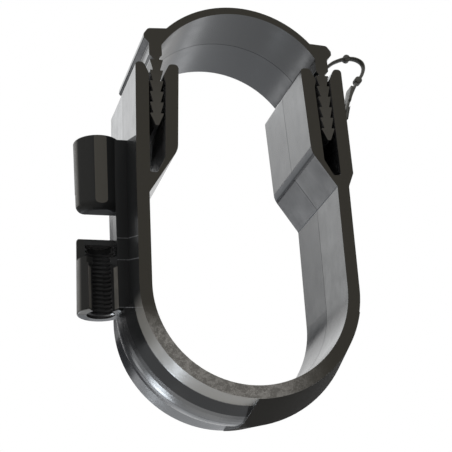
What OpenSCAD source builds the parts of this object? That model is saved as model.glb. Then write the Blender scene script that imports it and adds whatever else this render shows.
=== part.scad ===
// Pipe collar clip: a U-shaped saddle with two ratchet pockets and two threaded rod sockets,
// a snap-in cap with a rack on each leg, and the flexible strap that ties the cap to the saddle.
// X runs across the pipe, Y along it and Z up. The origin is the centre of the seat.

/* [Seat] */
// Inner diameter of the seat
seat_d = 55; // [44:0.5:75]
// Thickness of the seat wall and the arms
wall = 3.5; // [2.8:0.1:4.2]
// Length of the clip along the pipe
depth = 37.4; // [26:0.2:60]
// Lean of each arm towards the other, in degrees
arm_lean = 0.6; // [0.2:0.1:1]
// Height of the crested pad under the seat, at its crest
pad_h = 3.4; // [3.1:0.1:4.5]
// Height of the pad at the clip's two end faces
pad_edge_h = 0.15; // [0.1:0.05:1.5]
// Angle that the pad covers, from the lowest point to the right
pad_angle = 78; // [30:1:80]

/* [Rib] */
// Height of the rib at its middle line
rib_h = 2.6; // [1.8:0.1:4]
// Height of the rib where its flanks meet its crown
rib_shoulder_h = 1.85; // [1:0.05:1.9]
// Width of the rib across its crown
rib_crown_w = 11.4; // [8:0.2:14]
// Width of the rib at its foot
rib_foot_w = 20.4; // [16:0.2:25]

/* [Pockets] */
// Thickness of the pockets' prongs
prong_w = 3.8; // [3.2:0.05:4.2]
// Height of the left pocket's tips above the seat centre
pocket_top = 65.8; // [62:0.1:75]
// Distance from the seat's width inwards to the middle of each slot's mouth
slot_inset = 3.75; // [3.4:0.05:4.2]
// How much farther out the right pocket stands
right_out = 1.65; // [0.8:0.05:2]
// How much higher the right pocket stands
right_up = 1.7; // [0:0.1:2.6]
// Outward lean of the slots and racks towards their lower ends, in degrees
slot_lean = 1.5; // [0.5:0.1:1.5]
// Depth of each slot below its tips
slot_depth = 33.5; // [31:0.5:34.5]
// Width of each slot's flat floor
floor_w = 2.1; // [1.4:0.05:2.4]
// Slope of the pocket's underside, in degrees from level
underside_slope = 57; // [50:1:62]
// Clearance between a tooth and the lip it passes
lip_gap = 0.32; // [0.3:0.01:0.5]

/* [Cap] */
// Thickness of the cap's arch
cap_t = 2.1; // [1.5:0.1:3]
// Width of each leg above its rack
leg_w = 3.75; // [3.2:0.05:3.8]
// Height of each head above its neck
head_h = 9.4; // [8.6:0.1:10]
// How far each head's bead stands out from its leg
bead_out = 1.5; // [0.6:0.1:1.8]

/* [Racks] */
// Number of teeth on each rack
teeth = 6; // [4:1:6]
// Height of one tooth
pitch = 3.34; // [3:0.02:3.4]
// Width across the teeth
tooth_w = 3.7; // [3.3:0.05:3.9]
// Width of the rack between two teeth
core_w = 2.1; // [1.5:0.1:2.6]

/* [Rod sockets] */
// Diameter of the socket bore, which is the rod's outer diameter
rod_d = 8; // [6:0.1:9]
// Thickness of the socket wall
socket_wall = 2.65; // [2:0.05:3.2]
// Length of one socket
socket_len = 22; // [18:0.5:24]
// Clear height between the two sockets
socket_gap = 7.4; // [5:0.1:12]
// Height of the middle of that gap above the seat centre
socket_mid = 22.6; // [21:0.1:26]
// Distance from the seat wall out to the sockets' axis
socket_off = 7.1; // [6.6:0.1:8]
// Thickness of the end wall that closes each bore at the gap
end_wall = 1.65; // [1:0.05:2.5]
// Length of each socket that is cut back to half a shell
half_len = 6.5; // [4:0.1:8]
// Width of the socket's open side at the bore
mouth_in = 5.4; // [4:0.1:5.8]
// Width of the socket's open side at the outside
mouth_out = 8.2; // [7:0.1:9]
// Height of the collar that narrows the open side at the half shell
collar_h = 1.8; // [1:0.1:3]
// Depth of the flat strip on the socket's closed side
flat_depth = 0.25; // [0.1:0.05:0.5]
// Thickness of the web that carries the sockets
web_h = 3; // [2.4:0.1:3.4]
// Width of that web along the pipe
web_w = 10; // [7:0.2:12]

/* [Strap] */
// Thickness of the strap
strap_t = 0.95; // [0.6:0.05:1.4]
// Width of the strap along the pipe
strap_w = 2.4; // [1.6:0.1:4]
// Width of the tab in the strap
tab_w = 7; // [4:0.2:10]
// Diameter of the strap's two knuckles
knuckle_d = 2.3; // [1.8:0.1:3]
// Clearance between each end of the strap and what it is moulded to
strap_gap = 0.02; // [0.01:0.01:0.1]

/* [Hidden] */
$fn = 96;
seat_r = seat_d / 2;
wall_r = seat_r + wall;
rib_sunk = 0.4;
// The pad's crest is lower at its start than farther on.
pad_start_h = rib_h + 0.2;
pad_lead = 1.8;
// Everything below is measured in the frame of one slot: u outwards from its axis, w up from its tips.
tooth_r = tooth_w / 2;
lip_r = tooth_r + lip_gap;
slot_r = lip_r + 0.08;
lip_back = 0.48;
inner_top_u = -(lip_r + lip_back);
inner_low_u = -(tooth_r + 0.45);
mouth_r = lip_r + 1.6;
lip_w = -3.3;
lip_land = 1;
lip_foot_w = -6;
// The pocket's lower features keep their heights above the slot's floor.
taper_end_w = 10.5 - slot_depth;
corner_w = 7.2 - slot_depth;
slant_top_w = 4.7 - slot_depth;
outer_foot_w = 0.7 - slot_depth;
strap_root_w = 13 - slot_depth;
tip_round = 1.24;
arm_step_h = 2.4;
// The left rack stands one tooth higher in its pocket than the right one.
first_tooth_w = 1.1;
neck_h = 0.4;
neck_w = 1.8;
// The neck reaches into the head, and the head's two lowest corners lie inside the neck.
neck_sunk = 0.3;
head_foot_u = neck_w / 2 - 0.15;
head_foot_h = -0.2;
leg_foot_h = 1.1;
leg_shift = 0.2;
bead_low_h = 6.4;
bead_high_h = 7.6;
head_flare = 0.25;
leg_top_h = 4.8;
arch_join_h = 4.6;
land_h = 0.35;
tip_h = 3.7;
tip_w = 0.9;
socket_taper = 0.3;
web_low_z = socket_mid - socket_gap / 2 - socket_len + 0.5;
web_high_z = socket_mid + socket_gap / 2 + socket_len - 0.7;
socket_r = rod_d / 2 + socket_wall;
socket_x = -(wall_r + socket_off);

function slot_x(s) = seat_r - slot_inset + (s > 0 ? right_out : 0);
function tip_z(s) = pocket_top + (s > 0 ? right_up : 0);
// Point of a slot's own frame, in the part's frame; s is -1 on the left and 1 on the right.
function loc(s, u, w) = [
    s * (slot_x(s) + u * cos(slot_lean) - w * sin(slot_lean)),
    tip_z(s) + w * cos(slot_lean) + u * sin(slot_lean)
];
function rack_w(s) = first_tooth_w - (s > 0 ? pitch : 0);
function head(s, u, h) = loc(s, u, rack_w(s) + neck_h + h);
function vertex(p, r) = [p[0], p[1], r];
function flat(p) = [p[0], p[1]];
function unit(v) = v / norm(v);

// Points of the fillet of radius r at corner b, between a and c.
function fillet(a, b, c, r, n = 6) =
    r <= 0 ? [b] :
    let (
        to_a = unit(a - b),
        to_c = unit(c - b),
        half = acos(to_a * to_c) / 2,
        run = min(r / tan(half), 0.48 * min(norm(a - b), norm(c - b))),
        rr = run * tan(half),
        centre = b + unit(to_a + to_c) * rr / sin(half),
        from = b + to_a * run - centre,
        to = b + to_c * run - centre,
        start = atan2(from[1], from[0]),
        turn = atan2(from[0] * to[1] - from[1] * to[0], from * to)
    )
    [for (i = [0 : n]) centre + rr * [cos(start + turn * i / n), sin(start + turn * i / n)]];

function outline(v) = [
    for (i = [0 : len(v) - 1])
        each fillet(flat(v[(i + len(v) - 1) % len(v)]), flat(v[i]), flat(v[(i + 1) % len(v)]), v[i][2])
];

// Arm and pocket of one side, from the level of the seat centre up.
function arm_x(z) = seat_r - z * tan(arm_lean);
function corner(s) = loc(s, inner_low_u - wall, corner_w);
function underside_z(s) = corner(s)[1] - (arm_x(corner(s)[1]) - abs(corner(s)[0])) * tan(underside_slope);
function outer_foot(s) = loc(s, slot_r + prong_w, outer_foot_w);
// Height where an arm's outer face steps out to its pocket, if the pocket stands out far enough.
arm_step_z = outer_foot(-1)[1] - arm_step_h;
function steps_out(s) = abs(outer_foot(s)[0]) > arm_x(arm_step_z) + wall + 0.4;
function side_outline(s) = outline([
    [s * seat_r, 0, 0],
    [s * arm_x(underside_z(s)), underside_z(s), 0.8],
    vertex(corner(s), 6),
    vertex(loc(s, inner_top_u - prong_w, 0), tip_round),
    vertex(loc(s, -mouth_r, 0), tip_round),
    vertex(loc(s, -lip_r, lip_w), 0.8),
    vertex(loc(s, -lip_r, lip_w - lip_land), 0),
    vertex(loc(s, inner_top_u, lip_foot_w), 0.4),
    vertex(loc(s, inner_low_u, taper_end_w), 0),
    vertex(loc(s, inner_low_u + 0.1, slant_top_w), 0.8),
    vertex(loc(s, slot_r - floor_w, -slot_depth), 0.5),
    vertex(loc(s, slot_r, -slot_depth), 0.7),
    vertex(loc(s, slot_r, lip_w - lip_land), 0),
    vertex(loc(s, lip_r, lip_w), 0.8),
    vertex(loc(s, mouth_r, 0), tip_round),
    vertex(loc(s, slot_r + prong_w, 0), tip_round),
    vertex(outer_foot(s), steps_out(s) ? 1 : 0),
    if (steps_out(s)) [s * (arm_x(arm_step_z) + wall), arm_step_z, 1],
    [s * wall_r, 0, 0]
]);

module bar(w = depth) {
    rotate([90, 0, 0]) linear_extrude(height = w, center = true) children();
}

module seat_section() {
    difference() {
        circle(r = wall_r);
        circle(r = seat_r);
        translate([-wall_r - 1, 0]) square([2 * wall_r + 2, wall_r + 1]);
    }
}

// Pad from the lowest point towards the right arm: highest midway between the end faces.
module pad() {
    inside = wall_r - wall / 2;
    rise = (pad_h - pad_start_h) / pad_lead;
    difference() {
        rotate([90, 0, 0]) rotate([0, 0, -90]) rotate_extrude(angle = pad_angle) polygon([
            [inside, -depth / 2],
            [wall_r + pad_edge_h, -depth / 2],
            [wall_r + pad_h, 0],
            [wall_r + pad_edge_h, depth / 2],
            [inside, depth / 2]
        ]);
        bar() polygon([for (p = [[-3, -3], [6, 6], [-3, 6]]) [p[0], -wall_r - pad_start_h - p[1] * rise]]);
    }
}

// Crowned rib that follows the seat's outside from the web to the lowest point.
module rib() {
    crown = rib_h - rib_shoulder_h;
    half = rib_crown_w / 2;
    // The flanks run on into the wall, so that they cross its face at a clear angle.
    foot = half + (rib_foot_w / 2 - half) * (1 + rib_sunk / rib_shoulder_h);
    start = asin(-web_low_z / wall_r);
    // The rib runs on into the pad by this angle.
    rib_end = 2;
    section = concat(
        [[wall_r - wall / 2, -foot], [wall_r - rib_sunk, -foot]],
        [for (i = [-3 : 3]) [wall_r + rib_h - crown * pow(i / 3, 2), half * i / 3]],
        [[wall_r - rib_sunk, foot], [wall_r - wall / 2, foot]]
    );
    rotate([90, 0, 0]) rotate([0, 0, 180 + start]) rotate_extrude(angle = 90 - start + rib_end) polygon(section);
}

// One rod socket, mouth end down at z = 0, open side towards -Y, end wall at the top.
module socket_body(round_r) {
    top = socket_len;
    difference() {
        rotate_extrude() polygon(outline([
            [0, 0, 0],
            [socket_r, 0, 0.5],
            [socket_r - socket_taper, top, round_r],
            [0, top, 0]
        ]));
        translate([-socket_r - 1, -socket_r - 1, top - half_len]) cube([2 * socket_r + 2, socket_r + 1, half_len + 1]);
        socket_mouth(mouth_in, mouth_out, -1, top - half_len - collar_h);
        socket_mouth(mouth_in - 0.5, mouth_out + 1, top - half_len - collar_h - 0.1, top - half_len + 0.1);
        rotate([asin(socket_taper / top), 0, 0])
            translate([-socket_r, socket_r - flat_depth, -1]) cube([2 * socket_r, socket_r, top + 2]);
    }
}

// Open side of a socket: straight from the bore, then flared to the outside, between two heights.
module socket_mouth(inner, outer, low, high) {
    in_y = sqrt(pow(rod_d / 2, 2) - pow(inner / 2, 2));
    out_y = sqrt(pow(socket_r, 2) - pow(outer / 2, 2));
    far_y = socket_r + 1;
    far_x = outer / 2 + (far_y - out_y) * (outer - inner) / 2 / (out_y - in_y);
    translate([0, 0, low]) linear_extrude(height = high - low) polygon([
        [-inner / 2, 0],
        [-inner / 2, -in_y],
        [-far_x, -far_y],
        [far_x, -far_y],
        [inner / 2, -in_y],
        [inner / 2, 0]
    ]);
}

module at_socket(upper) {
    turn = upper ? 180 : 0;
    translate([socket_x, 0, socket_mid]) rotate([turn, 0, 0]) translate([0, 0, -socket_gap / 2 - socket_len])
        children();
}

module saddle() {
    color([0.2, 0.19, 0.17])
    difference() {
        union() {
            bar() seat_section();
            bar() polygon(side_outline(-1));
            bar() polygon(side_outline(1));
            pad();
            rib();
            translate([-wall_r - web_h, -web_w / 2, web_low_z])
                cube([web_h + wall / 2, web_w, web_high_z - web_low_z]);
            at_socket(false) socket_body(0.8);
            at_socket(true) socket_body(2.4);
        }
        for (upper = [false, true])
            at_socket(upper) translate([0, 0, -1]) cylinder(d = rod_d, h = socket_len - end_wall + 1);
    }
}

// Centre of the cap's arch: a little left of midway between the legs, at the height where it meets them.
leg_in_u = leg_shift - leg_w / 2;
leg_in_x = (slot_x(-1) + slot_x(1)) / 2 + leg_in_u;
mid_x = (slot_x(1) - slot_x(-1)) / 2;
arch_x = mid_x - 0.3;
outer_arch_x = mid_x - 0.55;
join_z = (head(-1, 0, arch_join_h)[1] + head(1, 0, arch_join_h)[1]) / 2;
arch_z = join_z - sqrt(pow(seat_r, 2) - pow(leg_in_x, 2));

module arch_section() {
    far = seat_r + cap_t;
    half = leg_in_x + 1;
    intersection() {
        difference() {
            translate([outer_arch_x, arch_z]) circle(r = far);
            translate([arch_x, arch_z]) circle(r = seat_r);
        }
        translate([mid_x - half, arch_z]) square([2 * half, far + 1]);
    }
}

// Head and leg of one side; two of its corners lie inside the arch's wall.
module head_section(s) {
    out_u = leg_shift + leg_w / 2;
    bead_u = out_u + bead_out;
    top = head(s, out_u + head_flare, head_h);
    arch_r = seat_r + 0.6 * cap_t;
    rise = (top[1] + 0.4 - arch_z) / arch_r;
    leg_r = seat_r + 0.5 * cap_t;
    polygon(outline([
        vertex(head(s, -head_foot_u, head_foot_h), 0),
        vertex(head(s, leg_in_u, leg_foot_h), 0.3),
        [mid_x + s * leg_in_x, arch_z + sqrt(pow(leg_r, 2) - pow(leg_in_x, 2)), 0],
        [arch_x + s * arch_r * sqrt(1 - rise * rise), top[1] + 0.4, 0],
        vertex(top, 1.3),
        vertex(head(s, bead_u, bead_high_h), 0.6),
        vertex(head(s, bead_u, bead_low_h), 0.6),
        vertex(head(s, out_u, leg_top_h), 0.5),
        vertex(head(s, out_u, leg_foot_h), 0.3),
        vertex(head(s, head_foot_u, head_foot_h), 0)
    ]));
}

// Rack of one side: flat-topped teeth that taper downwards on both faces, and a pointed end.
module rack_section(s) {
    top = rack_w(s);
    last = teeth - 1;
    edge = concat(
        [[neck_w / 2, top + neck_h + neck_sunk], [neck_w / 2, top]],
        [for (k = [0 : last]) each [
            [tooth_r, top - k * pitch],
            [tooth_r, top - k * pitch - land_h],
            k < last ? [core_w / 2, top - (k + 1) * pitch] : [tip_w / 2, top - k * pitch - tip_h]
        ]]
    );
    n = len(edge);
    polygon(concat(
        [for (p = edge) loc(s, p[0], p[1])],
        [for (i = [n - 1 : -1 : 0]) loc(s, -edge[i][0], edge[i][1])]
    ));
}

module cap() {
    color([0.2, 0.19, 0.17])
    union() {
        bar() arch_section();
        for (s = [-1, 1]) {
            bar() head_section(s);
            bar() rack_section(s);
        }
    }
}

// Strap from the right arm, out and over, to the bead of the cap's right head.
arm_end_u = slot_r + prong_w + strap_gap;
cap_end_u = leg_shift + leg_w / 2 + bead_out + strap_gap;
arm_end = loc(1, arm_end_u, strap_root_w);
cap_end = head(1, cap_end_u, (bead_low_h + bead_high_h) / 2);
// The strap is drawn past its two ends, and then cut back to them.
overrun = [0.8, 0.8];
// Points between the two ends, chosen by hand as distances from the arm's end.
strap_route = [
    [2.4, 4.2], [5.2, 9.3], [7.5, 14.4], [8.3, 18.3], [10.1, 22.7],
    [12.1, 26.7], [13.6, 28.7], [14.5, 31.2], [13.9, 33.1], [11.8, 34.2],
    [9, 34.1], [6, 33.1], [2.9, 31.2]
];
// The tab's two ends, counted in thirds of a route point, and the knuckles, counted in route points.
tab_span = [12, 17];
knuckles = [6, 11];
tab_extra = 0.25;

function strap_point(i) =
    i <= 0 ? arm_end - overrun :
    i > len(strap_route) ? cap_end - overrun :
    strap_end_shift(i) + arm_end + strap_route[i - 1];
// The route was drawn for this step between the ends; a change of that step is shared out along it.
drawn_step = [-3.04, 25.44];
function strap_end_shift(i) = (cap_end - arm_end - drawn_step) * i / (len(strap_route) + 1);
// Smooth curve through the route's points.
function strap_curve(t) =
    let (
        i = min(floor(t), len(strap_route)),
        f = t - i,
        a = strap_point(i),
        b = strap_point(i + 1),
        ta = (b - strap_point(i - 1)) / 2,
        tb = (strap_point(i + 2) - a) / 2
    )
    a * (2 * pow(f, 3) - 3 * f * f + 1) + ta * (pow(f, 3) - 2 * f * f + f)
    + b * (3 * f * f - 2 * pow(f, 3)) + tb * (pow(f, 3) - f * f);
function strap_normal(t) =
    let (d = unit(strap_curve(t + 0.01) - strap_curve(t - 0.01)))
    [-d[1], d[0]];

// Part of the strap, between two places that are counted in thirds of a route point.
module strap_section(from, to, thick) {
    polygon(concat(
        [for (i = [from : to]) strap_curve(i / 3) + strap_normal(i / 3) * thick / 2],
        [for (i = [to : -1 : from]) strap_curve(i / 3) - strap_normal(i / 3) * thick / 2]
    ));
}

// What the strap is cut back to: the arm's outer face and the bead of the cap's right head.
module strap_limits() {
    polygon([loc(1, 0, 0), loc(1, arm_end_u, 0), loc(1, arm_end_u, -slot_depth), loc(1, 0, -slot_depth)]);
    polygon([head(1, 0, 0), head(1, cap_end_u, 0), head(1, cap_end_u, head_h), head(1, 0, head_h)]);
}

module strap() {
    color([0.3, 0.29, 0.26])
    difference() {
        union() {
            bar(strap_w) strap_section(0, 3 * (len(strap_route) + 1), strap_t);
            bar(tab_w) strap_section(tab_span[0], tab_span[1], strap_t + tab_extra);
            for (k = knuckles)
                bar(strap_w) translate(strap_curve(k)) circle(d = knuckle_d);
        }
        bar() strap_limits();
    }
}

saddle();
cap();
strap();
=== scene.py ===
import math

import bmesh
import bpy
from mathutils import Matrix, Vector


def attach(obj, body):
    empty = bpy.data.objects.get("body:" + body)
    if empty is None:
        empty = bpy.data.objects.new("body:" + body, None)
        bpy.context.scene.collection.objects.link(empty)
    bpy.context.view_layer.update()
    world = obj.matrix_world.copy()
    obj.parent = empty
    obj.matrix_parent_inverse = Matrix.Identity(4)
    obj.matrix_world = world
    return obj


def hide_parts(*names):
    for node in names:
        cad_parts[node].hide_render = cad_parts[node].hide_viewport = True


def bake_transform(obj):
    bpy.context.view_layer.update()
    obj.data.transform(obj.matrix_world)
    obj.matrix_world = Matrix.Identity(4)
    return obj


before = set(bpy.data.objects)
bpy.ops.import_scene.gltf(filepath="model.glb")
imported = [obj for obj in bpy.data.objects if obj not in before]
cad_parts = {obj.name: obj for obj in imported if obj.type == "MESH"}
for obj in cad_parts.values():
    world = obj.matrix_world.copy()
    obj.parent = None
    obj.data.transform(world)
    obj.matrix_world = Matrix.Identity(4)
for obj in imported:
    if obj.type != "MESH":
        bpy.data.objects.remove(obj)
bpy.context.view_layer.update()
scene = bpy.context.scene
scene.view_settings.view_transform = "Standard"
mm = 0.001
print("frame loaded")


# Shader tools

class Wire:  # a shader socket that Python's operators can work on
    def __init__(self, sheet, socket):
        self.sheet = sheet
        self.socket = socket

    def math(self, operation, *values):
        return self.sheet.add("ShaderNodeMath", {"operation": operation}, dict(enumerate(values)))

    def __add__(self, other):
        return self.math("ADD", self, other)

    def __radd__(self, other):
        return self.math("ADD", other, self)

    def __sub__(self, other):
        return self.math("SUBTRACT", self, other)

    def __rsub__(self, other):
        return self.math("SUBTRACT", other, self)

    def __mul__(self, other):
        return self.math("MULTIPLY", self, other)

    def __rmul__(self, other):
        return self.math("MULTIPLY", other, self)

    def __abs__(self):
        return self.math("ABSOLUTE", self)

    def root(self):
        return self.math("SQRT", self)

    def most(self, other):
        return self.math("MAXIMUM", self, other)

    def least(self, other):
        return self.math("MINIMUM", self, other)

    def step(self, start, end):  # 0 at start and 1 at end, smooth between them
        return self.sheet.add("ShaderNodeMapRange", {"interpolation_type": "SMOOTHSTEP"},
                              {"Value": self, "From Min": start, "From Max": end})

    def within(self, low, high, soft):  # 1 between low and high
        return self.step(low - soft, low) * self.step(high + soft, high)


class Sheet:  # a node tree
    def __init__(self, tree):
        self.tree = tree
        tree.nodes.clear()

    def add(self, kind, settings=None, values=None, output=0):
        node = self.tree.nodes.new(kind)
        for name, value in (settings or {}).items():
            setattr(node, name, value)
        for name, value in (values or {}).items():
            if isinstance(value, Wire):
                self.tree.links.new(value.socket, node.inputs[name])
            else:
                node.inputs[name].default_value = value
        return Wire(self, node.outputs[output]) if node.outputs else node

    def place(self):  # object coordinates in millimetres
        spot = self.add("ShaderNodeTexCoord", output="Object")
        return self.add("ShaderNodeVectorMath", {"operation": "SCALE"},
                        {"Vector": spot, "Scale": 1 / mm})

    def facing(self):
        return self.add("ShaderNodeTexCoord", output="Normal")

    def split(self, vector):
        return [self.add("ShaderNodeSeparateXYZ", values={"Vector": vector}, output=axis)
                for axis in "XYZ"]

    def stretch(self, place, shares):
        return self.add("ShaderNodeVectorMath", {"operation": "MULTIPLY"}, {0: place, 1: shares})

    def noise(self, place, scale, detail=2.0, rough=0.5):
        return self.add("ShaderNodeTexNoise", values={
            "Vector": place, "Scale": scale, "Detail": detail, "Roughness": rough})

    def blend(self, share, first, second):
        return self.add("ShaderNodeMix", {"data_type": "RGBA"},
                        {"Factor": share, "A": first, "B": second}, "Result")

    def plastic(self, colour, rough, bump, level):
        return self.add("ShaderNodeBsdfPrincipled", values={
            "Base Color": colour, "Roughness": rough, "Normal": bump, "Specular IOR Level": level})

    def mixed(self, share, first, second):
        return self.add("ShaderNodeMixShader", values={0: share, 1: first, 2: second})

    def show(self, surface):
        self.add("ShaderNodeOutputMaterial", values={"Surface": surface})


def newFinish(name):
    material = bpy.data.materials.new(name)
    material.use_nodes = True
    return material, Sheet(material.node_tree)


# Body plastic: glossy sides with a parting line at mid-depth, matt end faces, worn low down, and
# painted light in several zones

bodyLook = {
    "rearColour": (0.012, 0.014, 0.017, 1),
    "frontColour": (0.0138, 0.0146, 0.0152, 1),
    # painted light: the sockets' outsides grow paler towards the lit left side, on the front half
    "shellLightColour": (0.065, 0.061, 0.052, 1),
    # painted fill light: a pale colour inside the bores and slots, where little light reaches
    "innerPaintedLightColour": (0.07, 0.07, 0.072, 1),
    "padColour": (0.021, 0.02, 0.018, 1),
    "mattColour": (0.043, 0.0405, 0.0345, 1),
    # pale wear on the end faces; on the cap's lower teeth the same colour is painted light
    "wornAndToothLightColour": (0.34, 0.331, 0.317, 1),
    # front land strip under the seat: partly dust, partly a painted reflection of the bright floor
    "dustAndReflectionColour": (0.27, 0.26, 0.235, 1),
    # painted light: the flat strip on the upper socket's front is paler than the other matt faces, as
    # if lit from the front
    "stripLightColour": (0.075, 0.072, 0.064, 1),
    # painted highlight: pale colour on the rounded edges of the sockets' open mouths
    "lipHighlightColour": (0.14, 0.135, 0.125, 1),
    # painted reflection: pale lines across the web and a pale band at the right pocket's bend
    "paintedReflectionColour": (0.3, 0.31, 0.33, 1),
    "sideRough": 0.2,
    "crownRough": 0.24,
    "shellRough": 0.22,  # added on the sockets' outsides
    "mattRough": 0.75,
    "dustAndReflectionRough": 0.5,
    "sideLevel": 0.5,
    "mattLevel": 0.06,
    "dustAndReflectionLevel": 0.9,
    "mottling": 0.22,
    "streaking": 0.08,
    "grainHeight": 0.02,
    "streakHeight": 0.0025,
    "draft": 0.012,
    "toothLightShare": 0.0,
    "zoneShare": 0.85,
    "seamShare": 0.6,
    "dustAndReflectionShare": 0.7,
    "wornShare": 0.32,  # everywhere low on the end faces, more in patches and specks
    "wornPatches": 0.28,
    "wornSpecks": 0.35,
    # noises: scale, detail and roughness
    "mottleNoise": (0.16, 4.0, 0.6),
    "grainNoise": (5.0, 3.0, 0.65),
    "streakNoise": (1.0, 3.0, 0.6),
    "speckNoise": (2.2, 5.0, 0.75),
    "patchNoise": (0.55, 4.0, 0.7),
    # zones, in millimetres on the clip: a pair runs from where a finish starts to where it is full
    "frontSide": (0.3, -0.3),
    "seatTop": (0.5, -0.5),
    "endDepth": (18.4, 18.6),
    "bendAcross": (8, 10),
    "bendHeights": (20, 42),
    "stripAcross": (-39.95, -36.25),
    "stripFront": (-5.9, -6.05),
    "stripFoot": (26, 26.3),
    "padAcross": (0.0, 0.1),
    "padRadius": (31.12, 31.2),
    "padDepth": (18.66, 18.6),
    "landAcross": (0.3, 0.0),
    "landRadius": (30.8, 31.1),
    "landDepth": (10.0, 10.4),
    "crownAcross": (0.5, 0.0),
    "crownRadius": (31.9, 32.2),
    "seamHalf": (0.22, 0.1),
    "seamWander": 0.5,
    "wornHeight": (-5, -16),
    "wornAcross": (22, 2),
    "wornRadius": (31.6, 31.2),
    "dustAndReflectionDepth": (-10, -11),
    "dustAndReflectionHeight": (-1, -8),
    "toothLightHeight": (72, 50),
    "socketX": -38.1,
    "boreSquares": (19, 17),  # of its radius
    "lipAcross": (3.25, 4.02),
    "lipFront": (-3.2, -3.5),
    "lipHeights": (-2.5, 9.2),
    "shellAcross": (-38.5, -42.5),
    "shellFront": (1, 0),
    "shellSide": (-39.5, -41.5),
    "slotMiddle": 0.8,
    "slotAcross": (20, 27.2),
    "slotHeights": (33.5, 66),
    "webAcross": (-35.3, -28.4),
    "webDepth": (4, 6),
    "webFront": -5,
    "webSlope": 0.31,
    "lineHeights": (17.8, 11.4, -2.4),
    "lineHalf": (0.16, 0.06),
    "lineWander": 0.3,  # of the seam's
    "flankAcross": (-29, -29.3),
    "flankDepth": (-18.5, -5),
    "flankHeights": (-2.6, 47.3),
    "rimAcross": (-31, -32),
    "rimFoot": (24, 25),
}
# the cap's lower teeth get a little painted light
capLook = dict(bodyLook, toothLightShare=0.07)


class BodyZones:  # masks that say where on the clip each finish lies
    def __init__(self, sheet, look):
        place = sheet.place()
        x, y, z = sheet.split(place)
        nx, ny, nz = sheet.split(sheet.facing())
        radius = (x * x + z * z).root()
        below = z.step(*look["seatTop"])
        fromSocket = x - look["socketX"]
        leaned = z - (y - look["webFront"]).least(0) * look["webSlope"]
        self.mottle = sheet.noise(place, *look["mottleNoise"])
        self.grain = sheet.noise(place, *look["grainNoise"])
        self.streaks = sheet.noise(sheet.stretch(place, (0.25, 1.4, 0.05)), *look["streakNoise"])
        self.specks = sheet.noise(place, *look["speckNoise"])
        patches = sheet.noise(place, *look["patchNoise"]).step(0.42, 0.6)
        wander = sheet.noise(sheet.stretch(place, (0.05, 0.0, 0.05)), 1.0) - 0.5
        wander = wander * look["seamWander"]

        self.depth = abs(y)
        self.front = y.step(*look["frontSide"])
        self.endFace = abs(ny).step(0.8, 0.95) * self.depth.step(*look["endDepth"])
        self.sloped = abs(ny).step(0.3, 0.5)
        # band at the bend of the right pocket's inner side, painted pale as a reflection
        self.bend = (nx.step(-0.8, -0.88) * nz.within(-0.42, -0.07, 0.04)
                     * z.within(*look["bendHeights"], 1) * x.step(*look["bendAcross"]))
        self.pad = (x.step(*look["padAcross"]) * below * radius.step(*look["padRadius"])
                    * self.depth.step(*look["padDepth"]))
        land = (below * radius.within(*look["landRadius"], 0.1) * self.depth.step(*look["landDepth"])
                * (1 - self.endFace) * x.step(*look["landAcross"]))
        # front of the land strip, pale with dust and a painted floor reflection
        self.dustAndReflection = land * y.step(*look["dustAndReflectionDepth"]) * z.step(*look["dustAndReflectionHeight"])
        self.crown = x.step(*look["crownAcross"]) * below * radius.step(*look["crownRadius"])
        self.seam = abs(y - wander).step(*look["seamHalf"]) * abs(ny).step(0.6, 0.3)
        worn = (self.endFace * z.step(*look["wornHeight"]) * x.step(*look["wornAcross"])
                * radius.step(*look["wornRadius"]))
        self.worn = worn * (patches * look["wornPatches"] + look["wornShare"]
                            + self.specks.step(0.42, 0.75) * look["wornSpecks"])
        # lower teeth, made paler as painted light
        self.litTeeth = z.step(*look["toothLightHeight"])

        # the bores and slots get painted fill light
        bore = (fromSocket * fromSocket + y * y).step(*look["boreSquares"])
        slots = (abs(x - look["slotMiddle"]).within(*look["slotAcross"], 0.3)
                 * z.within(*look["slotHeights"], 0.5) * nz.step(-0.4, -0.3))
        self.inside = bore.most(slots)
        self.flatStrip = (x.within(*look["stripAcross"], 0.1) * y.step(*look["stripFront"])
                          * z.step(*look["stripFoot"]) * abs(ny).step(0.97, 0.99))
        # the edges of the sockets' mouths, where a highlight is painted
        lipHighlights = (abs(fromSocket).within(*look["lipAcross"], 0.12) * y.step(*look["lipFront"])
                * z.within(*look["lipHeights"], 0.4))
        self.lipHighlights = lipHighlights * (0.4 + self.mottle)
        # the sockets' lit left outsides, where light is painted
        self.shellLight = x.step(*look["shellAcross"]) * y.step(*look["shellFront"])
        self.shellSide = x.step(*look["shellSide"])
        web = (x.within(*look["webAcross"], 0.3) * self.depth.step(*look["webDepth"])
               * (1 - self.endFace))
        # painted reflections of the sockets' edges, as pale lines across the web
        lines = 0
        for level in look["lineHeights"]:
            line = abs(leaned - level + wander * look["lineWander"])
            lines = line.step(*look["lineHalf"]) + lines
        self.lines = lines * web * self.specks.step(0.3, 0.7)
        flank = (x.step(*look["flankAcross"]) * y.within(*look["flankDepth"], 0.3)
                 * leaned.within(*look["flankHeights"], 0.2))
        rim = x.step(*look["rimAcross"]) * z.step(*look["rimFoot"]) * nz.step(-0.2, -0.45)
        self.shaded = rim.most(flank)
        self.matt = self.endFace.most(self.flatStrip).most(self.pad)


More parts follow.
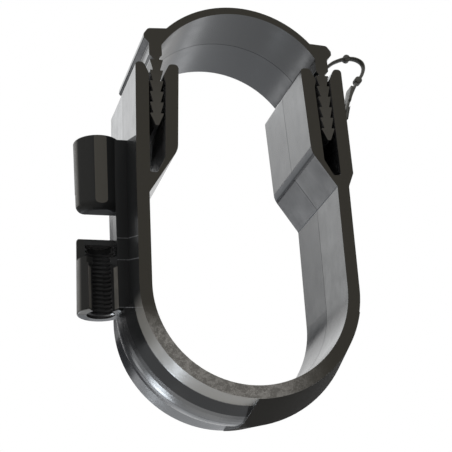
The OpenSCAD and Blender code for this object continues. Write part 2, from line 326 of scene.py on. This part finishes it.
def bodyPlastic(name, look):
    material, sheet = newFinish(name)
    zone = BodyZones(sheet, look)
    colour = sheet.blend(zone.front, look["rearColour"], look["frontColour"])
    # painted light on the sockets' left outsides
    colour = sheet.blend(zone.shellLight, colour, look["shellLightColour"])
    # painted fill light: the bores and slots are made paler
    colour = sheet.blend(zone.inside, colour, look["innerPaintedLightColour"])
    endTone = sheet.blend(zone.worn, look["mattColour"], look["wornAndToothLightColour"])
    # painted light on the cap's lower teeth
    endTone = sheet.blend(zone.litTeeth * look["toothLightShare"], endTone, look["wornAndToothLightColour"])
    mattTone = sheet.blend(zone.pad, look["frontColour"], look["padColour"])
    # painted light on the upper socket's flat strip
    mattTone = sheet.blend(zone.flatStrip, mattTone, look["stripLightColour"])
    # painted highlight on the mouths' edges
    mattTone = sheet.blend(zone.lipHighlights, mattTone, look["lipHighlightColour"])
    # painted reflections: the lines on the web and the band at the right pocket's bend
    mattTone = sheet.blend(zone.lines.most(zone.bend), mattTone, look["paintedReflectionColour"])
    mattTone = sheet.blend(zone.endFace, mattTone, endTone)

    rough = zone.crown * (look["crownRough"] - look["sideRough"]) + look["sideRough"]
    rough = rough + (zone.mottle - 0.5) * look["mottling"] + (zone.streaks - 0.5) * look["streaking"]
    rough = rough + zone.shellSide * look["shellRough"]
    smooth = (zone.streaks - 0.5) * look["streakHeight"] - zone.depth * look["draft"]
    height = zone.grain * zone.matt * look["grainHeight"] + smooth * (1 - zone.matt)
    bump = sheet.add("ShaderNodeBump", values={"Height": height, "Distance": mm, "Strength": 1.0})

    glossy = sheet.plastic(colour, rough, bump, look["sideLevel"])
    dull = sheet.plastic(mattTone, look["mattRough"], bump, look["mattLevel"])
    # pale rough skin for the land strip: dust together with a painted floor reflection
    dustAndReflection = sheet.plastic(look["dustAndReflectionColour"], look["dustAndReflectionRough"], bump, look["dustAndReflectionLevel"])
    share = zone.matt.most(zone.seam * look["seamShare"]).most(zone.lipHighlights).most(zone.lines)
    share = share.most(zone.shaded.most(zone.bend).most(zone.sloped) * look["zoneShare"])
    skin = sheet.mixed(share, glossy, dull)
    sheet.show(sheet.mixed(zone.dustAndReflection * look["dustAndReflectionShare"], skin, dustAndReflection))
    return material


# Strap plastic: the same moulding, thinner and duller, with a painted highlight on the top of its
# loop and a painted reflection on its inner faces

strapLook = {
    "colour": (0.027, 0.026, 0.019, 1),
    # painted highlight on the upward and rightward faces of the loop's top
    "loopHighlightColour": (0.24, 0.24, 0.2, 1),
    # painted reflection on the strap's inner faces, below the loop
    "innerPaintedLightColour": (0.2, 0.2, 0.185, 1),
    "rough": 0.5,
    "mottling": 0.2,
    "level": 0.4,
    "grainHeight": 0.02,
    "loopHighlightHeight": (76, 79),
    "loopHighlightAcross": (41.5, 44),
    "innerReflectionHeight": (73, 72),
}


def strapPlastic(name, look):
    material, sheet = newFinish(name)
    place = sheet.place()
    x, y, z = sheet.split(place)
    nx, ny, nz = sheet.split(sheet.facing())
    mottle = sheet.noise(place, 0.5, 3.0, 0.6)
    grain = sheet.noise(place, 6.0, 3.0, 0.6)
    # painted highlight on the top of the loop
    loopHighlight = (nz + nx * 0.5).step(0.1, 0.9) * z.step(*look["loopHighlightHeight"]) * x.step(*look["loopHighlightAcross"])
    # painted reflection on the faces turned in towards the clip
    innerReflection = nx.step(-0.5, -0.9) * z.step(*look["innerReflectionHeight"])
    colour = sheet.blend(loopHighlight * (0.4 + mottle), look["colour"], look["loopHighlightColour"])
    colour = sheet.blend(innerReflection, colour, look["innerPaintedLightColour"])
    rough = look["rough"] + (mottle - 0.5) * look["mottling"]
    bump = sheet.add("ShaderNodeBump", values={
        "Height": grain * look["grainHeight"], "Distance": mm, "Strength": 1.0})
    sheet.show(sheet.plastic(colour, rough, bump, look["level"]))
    return material


bodyMaterial = bodyPlastic("bodyPlastic", bodyLook)
capMaterial = bodyPlastic("capPlastic", capLook)
for node, material in (("saddle", bodyMaterial), ("cap", capMaterial)):
    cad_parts[node].data.materials.clear()
    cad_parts[node].data.materials.append(material)
print("body plastic done")


# Mesh tools

def keep(name, shape, material, smoothAngle=35):
    bmesh.ops.remove_doubles(shape, verts=shape.verts[:], dist=0.001)
    bmesh.ops.recalc_face_normals(shape, faces=shape.faces[:])
    bmesh.ops.scale(shape, vec=(mm, mm, mm), verts=shape.verts[:])
    mesh = bpy.data.meshes.new(name)
    shape.to_mesh(mesh)
    shape.free()
    mesh.shade_smooth()
    mesh.set_sharp_from_angle(angle=math.radians(smoothAngle))
    mesh.materials.append(material)
    thing = bpy.data.objects.new(name, mesh)
    scene.collection.objects.link(thing)
    return thing


def cutAway(thing, cutter):  # takes the cutter's volume out of a piece
    change = thing.modifiers.new("cut", "BOOLEAN")
    change.operation = "DIFFERENCE"
    change.solver = "EXACT"
    change.object = cutter
    bpy.context.view_layer.update()
    cut = bpy.data.meshes.new_from_object(thing.evaluated_get(bpy.context.evaluated_depsgraph_get()))
    thing.modifiers.clear()
    thing.data = cut
    bpy.data.objects.remove(cutter)


# Threads in the two rod sockets

threadSet = {
    "axisX": -38.1,
    "middleZ": 22.6,
    "halfGap": 3.7,
    "socketLength": 22.0,
    "endWall": 1.65,
    "pitch": 1.25,
    "rootRadius": 4.05,
    "crestRadius": 3.35,
    "rootHalf": 0.5,
    "crestHalf": 0.14,
    "halfShell": 6.5,
    "collar": 1.8,
    "mouthHalf": 2.72,
    "collarHalf": 2.47,
    "stepsATurn": 56,
    "endRoom": 1.6,
    "firstRidge": 0.8,
    "shellCut": 6,
    "cutDepth": 6,
    "cutOverlap": 0.2,
    "smoothAngle": 50,
}


def threadRidge(make):
    # Local height runs from 0 at the socket's mouth; the open side looks towards -Y.
    boreTop = make["socketLength"] - make["endWall"]
    turns = int((boreTop - make["endRoom"]) / make["pitch"])
    shape = bmesh.new()
    corners = [(make["rootRadius"], -make["rootHalf"]), (make["crestRadius"], -make["crestHalf"]),
               (make["crestRadius"], make["crestHalf"]), (make["rootRadius"], make["rootHalf"])]
    ring = [shape.verts.new((radius, 0, make["firstRidge"] + height)) for radius, height in corners]
    edges = [shape.edges.new((ring[i - 1], ring[i])) for i in range(4)]
    steps = make["stepsATurn"] * turns
    bmesh.ops.spin(shape, geom=ring + edges, cent=(0, 0, 0), axis=(0, 0, 1),
                   angle=2 * math.pi * turns, dvec=(0, 0, make["pitch"] * turns / steps), steps=steps)
    bmesh.ops.holes_fill(shape, edges=shape.edges[:], sides=4)
    return shape


def openSide(make):
    # Cutters for the socket's mouth, its collar and the half shell above them.
    shellFoot = make["socketLength"] - make["halfShell"]
    collarFoot = shellFoot - make["collar"]
    overlap = make["cutOverlap"]
    bands = [(make["mouthHalf"], -1, collarFoot),
             (make["collarHalf"], collarFoot - overlap, shellFoot + overlap),
             (make["shellCut"], shellFoot, make["socketLength"] + 1)]
    cutters = []
    for half, low, high in bands:
        shape = bmesh.new()
        bmesh.ops.create_cube(shape, size=1)
        bmesh.ops.scale(shape, vec=(2 * half, make["cutDepth"], high - low), verts=shape.verts[:])
        middle = (0, -make["cutDepth"] / 2, (low + high) / 2)
        bmesh.ops.translate(shape, vec=middle, verts=shape.verts[:])
        cutters.append(shape)
    return cutters


def rodThread(name, upper):
    make = threadSet
    place = Matrix.Translation((make["axisX"], 0, make["middleZ"]))
    if upper:
        place = place @ Matrix.Rotation(math.pi, 4, "X")
    place = place @ Matrix.Translation((0, 0, -make["halfGap"] - make["socketLength"]))
    ridge, cutters = threadRidge(make), openSide(make)
    for shape in [ridge] + cutters:
        bmesh.ops.transform(shape, matrix=place, verts=shape.verts[:])
    thread = keep(name, ridge, bodyMaterial, make["smoothAngle"])
    for cutter in cutters:
        cutAway(thread, keep(name + "Cutter", cutter, bodyMaterial))
    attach(thread, "saddle")


rodThread("lower_thread", False)
rodThread("upper_thread", True)
print("threads done")


# Strap between the right arm and the cap

strapSet = {
    "route": [
        (31.3, 46.0), (32.0, 47.17), (34.3, 51.38), (36.95, 56.49), (39.0, 61.6), (39.8, 65.51),
        (41.6, 69.92), (43.75, 73.93), (45.25, 75.94), (46.1, 78.45), (45.55, 80.36), (43.5, 81.42),
        (40.7, 81.35), (37.8, 80.39), (34.8, 78.5), (28.86, 72.75), (28.1, 72.0)],
    "partsASpan": 4,
    "sides": 12,
    "width": 2.4,
    "thick": 1.0,
    "rootZ": 47.2,
    "capZ": 72.7,
    "knuckleRadius": 1.15,
    "knuckleRound": 0.3,
    "knuckles": [((43.75, 73.93), 2.8), ((40.7, 81.35), 2.1)],  # place and length
    "plates": [  # place, slope, length, width and thickness
        ((40.85, 1.0, 69.1), 75, 5.6, 5.2, 0.9), ((39.3, 1.0, 62.9), 76, 1.5, 3.6, 1.0)],
    "plateCorner": 0.8,
    "plateRound": 0.22,
}


def smoothRoute(points, parts):
    points = [Vector((x, 0, z)) for x, z in points]
    route = []
    for i in range(1, len(points) - 2):
        before, start, end, after = points[i - 1:i + 3]
        for part in range(parts):
            t = part / parts
            pull = (end - before) / 2 * (t ** 3 - 2 * t ** 2 + t)
            pull = pull + (after - start) / 2 * (t ** 3 - t ** 2)
            lean = 3 * t ** 2 - 2 * t ** 3
            route.append(start * (1 - lean) + end * lean + pull)
    return route + [points[-2]]


def strapBand(make):
    route = smoothRoute(make["route"], make["partsASpan"])
    shape = bmesh.new()
    ring = bmesh.ops.create_circle(shape, segments=make["sides"], radius=1)["verts"]
    edges = shape.edges[:]
    oval = Matrix.Diagonal((make["width"] / 2, make["thick"] / 2, 1, 1))
    last = Matrix.Identity(4)
    for i, point in enumerate(route):
        way = (route[min(i + 1, len(route) - 1)] - route[max(i - 1, 0)]).normalized()
        across = Vector((0, 1, 0))
        turn = Matrix((across, way.cross(across), way)).transposed().to_4x4()
        place = Matrix.Translation(point) @ turn @ oval
        if i:
            made = bmesh.ops.extrude_edge_only(shape, edges=edges)["geom"]
            ring = [item for item in made if isinstance(item, bmesh.types.BMVert)]
            edges = [item for item in made if isinstance(item, bmesh.types.BMEdge)]
        bmesh.ops.transform(shape, matrix=place @ last.inverted(), verts=ring)
        last = place
    bmesh.ops.holes_fill(shape, edges=shape.edges[:], sides=make["sides"])
    return shape


def roundEdges(shape, edges, size, segments):
    bmesh.ops.bevel(shape, geom=edges, offset=size, offset_type="OFFSET", affect="EDGES",
                    segments=segments, profile=0.5, material=-1)


def levelEdges(shape):
    return [edge for edge in shape.edges if abs(edge.verts[0].co.z - edge.verts[1].co.z) < 0.01]


def knuckle(make, spot, length):
    shape = bmesh.new()
    radius = make["knuckleRadius"]
    bmesh.ops.create_cone(shape, segments=24, radius1=radius, radius2=radius, depth=length,
                          cap_ends=True)
    roundEdges(shape, levelEdges(shape), make["knuckleRound"], 3)
    place = Matrix.Translation((spot[0], 0, spot[1])) @ Matrix.Rotation(math.pi / 2, 4, "X")
    bmesh.ops.transform(shape, matrix=place, verts=shape.verts[:])
    return shape


def thumbPlate(make, spot, slope, length, width, thick):
    # Lies along the band, with round corners in its own plane.
    shape = bmesh.new()
    bmesh.ops.create_cube(shape, size=1)
    bmesh.ops.scale(shape, vec=(length, width, thick), verts=shape.verts[:])
    corners = [edge for edge in shape.edges if abs(edge.verts[0].co.z - edge.verts[1].co.z) > 0.5]
    roundEdges(shape, corners, make["plateCorner"], 4)
    roundEdges(shape, levelEdges(shape), make["plateRound"], 3)
    place = Matrix.Translation(spot) @ Matrix.Rotation(-math.radians(slope), 4, "Y")
    bmesh.ops.transform(shape, matrix=place, verts=shape.verts[:])
    return shape


def strapPiece(name, shape):
    thing = keep(name, shape, strapMaterial)
    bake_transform(thing)
    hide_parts("strap")


strapMaterial = strapPlastic("strapPlastic", strapLook)
strapPiece("strap_band", strapBand(strapSet))
for number, facts in enumerate(strapSet["knuckles"]):
    strapPiece(f"strap_knuckle_{number + 1}", knuckle(strapSet, *facts))
for number, facts in enumerate(strapSet["plates"]):
    strapPiece(f"strap_plate_{number + 1}", thumbPlate(strapSet, *facts))
print("strap done")


# Stage, light and camera

stageSet = {
    "floorZ": -0.26,
    "floorSize": 16.0,
    "floorColour": (0.86, 0.84, 0.8, 1),
    "floorGlow": (1.0, 0.97, 0.92, 1),
    "floorSheen": (0.94, 0.965, 1.0, 1),
    "glowShare": 0.6,
    "sheenInFront": 0.25,  # of the sheen that the floor has behind the clip
    "sheenFade": (-0.15, 0.12),
    "skyLevel": 0.5,
    "backLevel": 1.0,
    "cardColour": (0.1, 0.1, 0.11, 1),
    "aimHeight": 0.02,
}

lampSet = {  # azimuth, elevation, distance, size, power and colour
    "backLamp": (-8, 36, 1.5, (1.2, 0.6), 1.3, (0.95, 0.98, 1.0)),
    "leftLamp": (-28, 20.5, 1.5, (0.5, 0.28), 0.3, (0.95, 0.98, 1.0)),
    "rimLamp": (-27, -8.5, 1.2, (0.3, 0.11), 0.13, (0.97, 0.98, 1.0)),
    "footLamp": (-20, -50, 0.33, (0.25, 0.12), 0.06, (1.0, 0.98, 0.95)),
    "rightLamp": (28, -13, 1.2, (0.42, 0.36), 0.4, (0.97, 0.98, 1.0)),
    "lowSpot": (-29, -31, 0.22, (0.05, 0.042), 0.082, (0.86, 0.93, 1.0)),
    "frontLamp": (-160, 55, 0.9, (0.6, 0.6), 3.0, (1.0, 0.98, 0.95)),
}

cardSet = {  # azimuth, elevation, distance and size of each dark card that shapes the gloss
    "lowCard": (-18, 3, 1.3, (1.05, 0.34)),
    "middleCard": (-9, 15, 1.25, (0.27, 0.27)),
    "leftCard": (-75, -5, 1.0, (1.4, 0.46)),
}


def seenDirectly(sheet, passes):
    share = sheet.add("ShaderNodeLightPath", output=passes[0])
    for name in passes[1:]:
        share = share.most(sheet.add("ShaderNodeLightPath", output=name))
    return share


def paleFloor(make):
    shape = bmesh.new()
    bmesh.ops.create_grid(shape, x_segments=1, y_segments=1, size=make["floorSize"] / 2)
    bmesh.ops.translate(shape, vec=(0, 0, make["floorZ"]), verts=shape.verts[:])
    mesh = bpy.data.meshes.new("floor")
    shape.to_mesh(mesh)
    shape.free()
    floor = bpy.data.objects.new("floor", mesh)
    scene.collection.objects.link(floor)
    material, sheet = newFinish("paleFloor")
    seen = seenDirectly(sheet, ["Is Camera Ray", "Is Transmission Ray"]) * make["glowShare"]
    mirrored = seenDirectly(sheet, ["Is Glossy Ray"])
    behind = sheet.split(sheet.add("ShaderNodeTexCoord", output="Object"))[1].step(*make["sheenFade"])
    sheen = behind * (1 - make["sheenInFront"]) + make["sheenInFront"]
    lit = sheet.add("ShaderNodeBsdfPrincipled", values={
        "Base Color": make["floorColour"], "Roughness": 0.8})
    tint = sheet.blend(mirrored, make["floorGlow"], make["floorSheen"])
    glow = sheet.add("ShaderNodeEmission", values={"Color": tint, "Strength": 1.0})
    sheet.show(sheet.mixed(seen.most(mirrored * sheen), lit, glow))
    mesh.materials.append(material)


def whiteSky(make):
    scene.world = bpy.data.worlds.new("sky")
    scene.world.use_nodes = True
    sheet = Sheet(scene.world.node_tree)
    seen = seenDirectly(sheet, ["Is Camera Ray", "Is Glossy Ray", "Is Transmission Ray"])
    level = seen * (make["backLevel"] - make["skyLevel"]) + make["skyLevel"]
    sky = sheet.add("ShaderNodeBackground", values={"Color": (1, 1, 1, 1), "Strength": level})
    sheet.add("ShaderNodeOutputWorld", values={"Surface": sky})


def around(azimuth, elevation, distance):  # a place as seen from the object, 0 azimuth being +Y
    turn, lift = math.radians(azimuth), math.radians(elevation)
    flat = math.cos(lift)
    return Vector((math.sin(turn) * flat, math.cos(turn) * flat, math.sin(lift))) * distance


def hang(name, data, azimuth, elevation, distance):
    thing = bpy.data.objects.new(name, data)
    thing.location = around(azimuth, elevation, distance) + Vector((0, 0, stageSet["aimHeight"]))
    thing.rotation_euler = around(azimuth, elevation, -1).to_track_quat("-Z", "Y").to_euler()
    thing.visible_camera = False
    scene.collection.objects.link(thing)
    return thing


def softLamp(name, azimuth, elevation, distance, size, power, colour):
    lamp = bpy.data.lights.new(name, "AREA")
    lamp.shape = "RECTANGLE"
    lamp.size, lamp.size_y = size
    lamp.energy = power
    lamp.color = colour
    hang(name, lamp, azimuth, elevation, distance)


def darkCard(name, azimuth, elevation, distance, size):
    shape = bmesh.new()
    bmesh.ops.create_grid(shape, x_segments=1, y_segments=1, size=0.5)
    bmesh.ops.scale(shape, vec=(size[0], size[1], 1), verts=shape.verts[:])
    mesh = bpy.data.meshes.new(name)
    shape.to_mesh(mesh)
    shape.free()
    material, sheet = newFinish(name)
    sheet.show(sheet.add("ShaderNodeBsdfPrincipled", values={
        "Base Color": stageSet["cardColour"], "Roughness": 1.0}))
    mesh.materials.append(material)
    hang(name, mesh, azimuth, elevation, distance)


cameraSet = {
    "place": (-0.10953, -0.38157, -0.12426),
    "right": (0.96583, -0.25301, -0.05623),
    "up": (-0.03822, -0.35362, 0.93461),
    "lens": 117.27,
    "sensor": 36,
    "clip": (0.02, 20),
}


def photoCamera(make):
    camera = bpy.data.cameras.new("camera")
    camera.sensor_width = make["sensor"]
    camera.lens = make["lens"]
    camera.clip_start, camera.clip_end = make["clip"]
    right, up = Vector(make["right"]), Vector(make["up"])
    thing = bpy.data.objects.new("camera", camera)
    thing.matrix_world = Matrix.Translation(make["place"]) @ Matrix(
        (right, up, right.cross(up))).transposed().to_4x4()
    scene.collection.objects.link(thing)
    scene.camera = thing


paleFloor(stageSet)
whiteSky(stageSet)
for lampName, facts in lampSet.items():
    softLamp(lampName, *facts)
for cardName, facts in cardSet.items():
    darkCard(cardName, *facts)
photoCamera(cameraSet)
print("stage, light and camera done")
